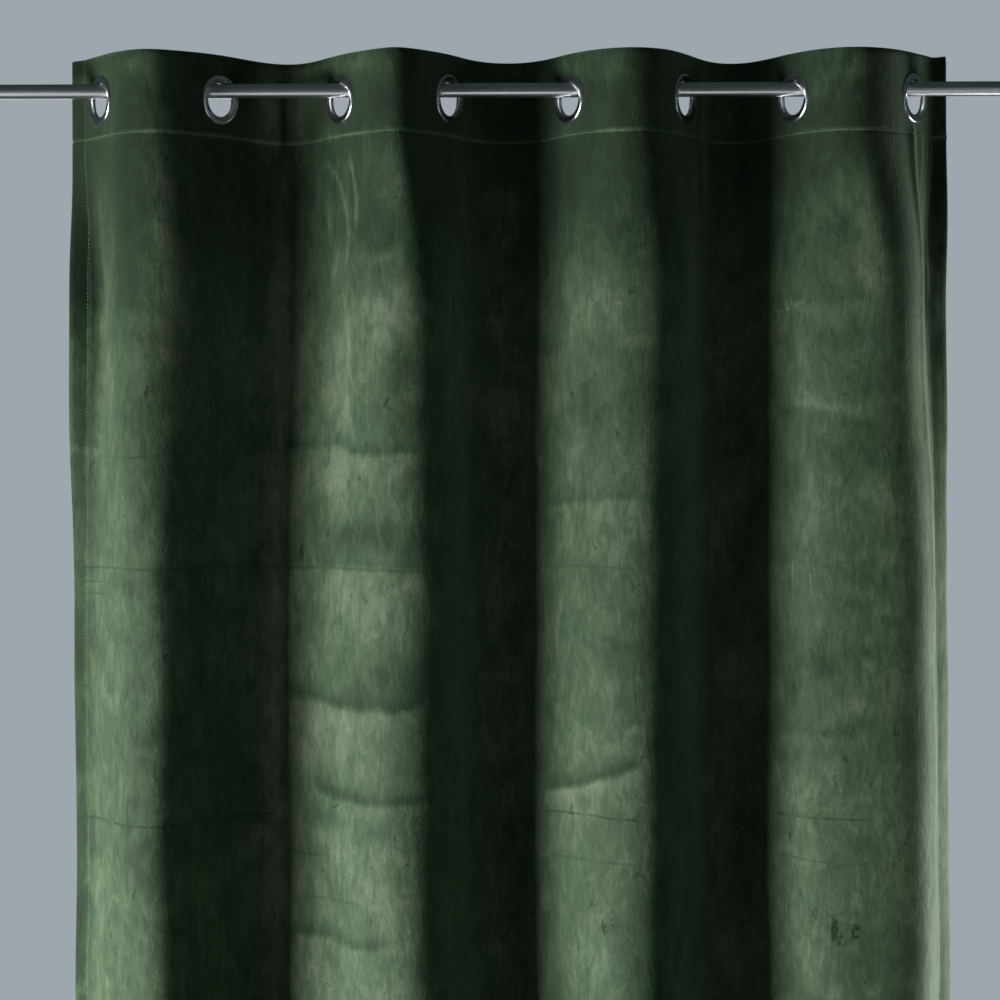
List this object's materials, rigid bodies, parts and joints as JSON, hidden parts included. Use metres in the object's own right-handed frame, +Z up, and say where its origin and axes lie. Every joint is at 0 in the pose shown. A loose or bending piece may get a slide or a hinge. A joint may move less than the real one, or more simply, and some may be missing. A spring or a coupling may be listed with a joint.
{
  "type": "velvet eyelet curtain on a rod",
  "caption": "Dark green velvet curtain panel with a doubled heading and metal eyelets, hanging in deep even folds from a plain round metal rod.",
  "frame": {"origin": "the middle of the rod's axis", "axes": "+Z up; +X along the rod, to the right for someone facing the pile side from the room; +Y away from the room, towards the wall or window"},
  "size_m": [1.2, 0.1351, 2.452],
  "materials": {
    "velvet": "dark bottle-green pile velvet with a soft pale sheen, rubbed and creased",
    "eyelet_metal": "nickel-plated rolled ring, satin with bright edges",
    "rod_metal": "fine satin steel, brushed along its length"
  },
  "bodies": {
    "root": {"panel": "velvet", "eyelet_1": "eyelet_metal", "eyelet_2": "eyelet_metal", "eyelet_3": "eyelet_metal", "eyelet_4": "eyelet_metal", "eyelet_5": "eyelet_metal", "eyelet_6": "eyelet_metal", "eyelet_7": "eyelet_metal", "eyelet_8": "eyelet_metal", "rod": "rod_metal"}
  },
  "joints": []
}
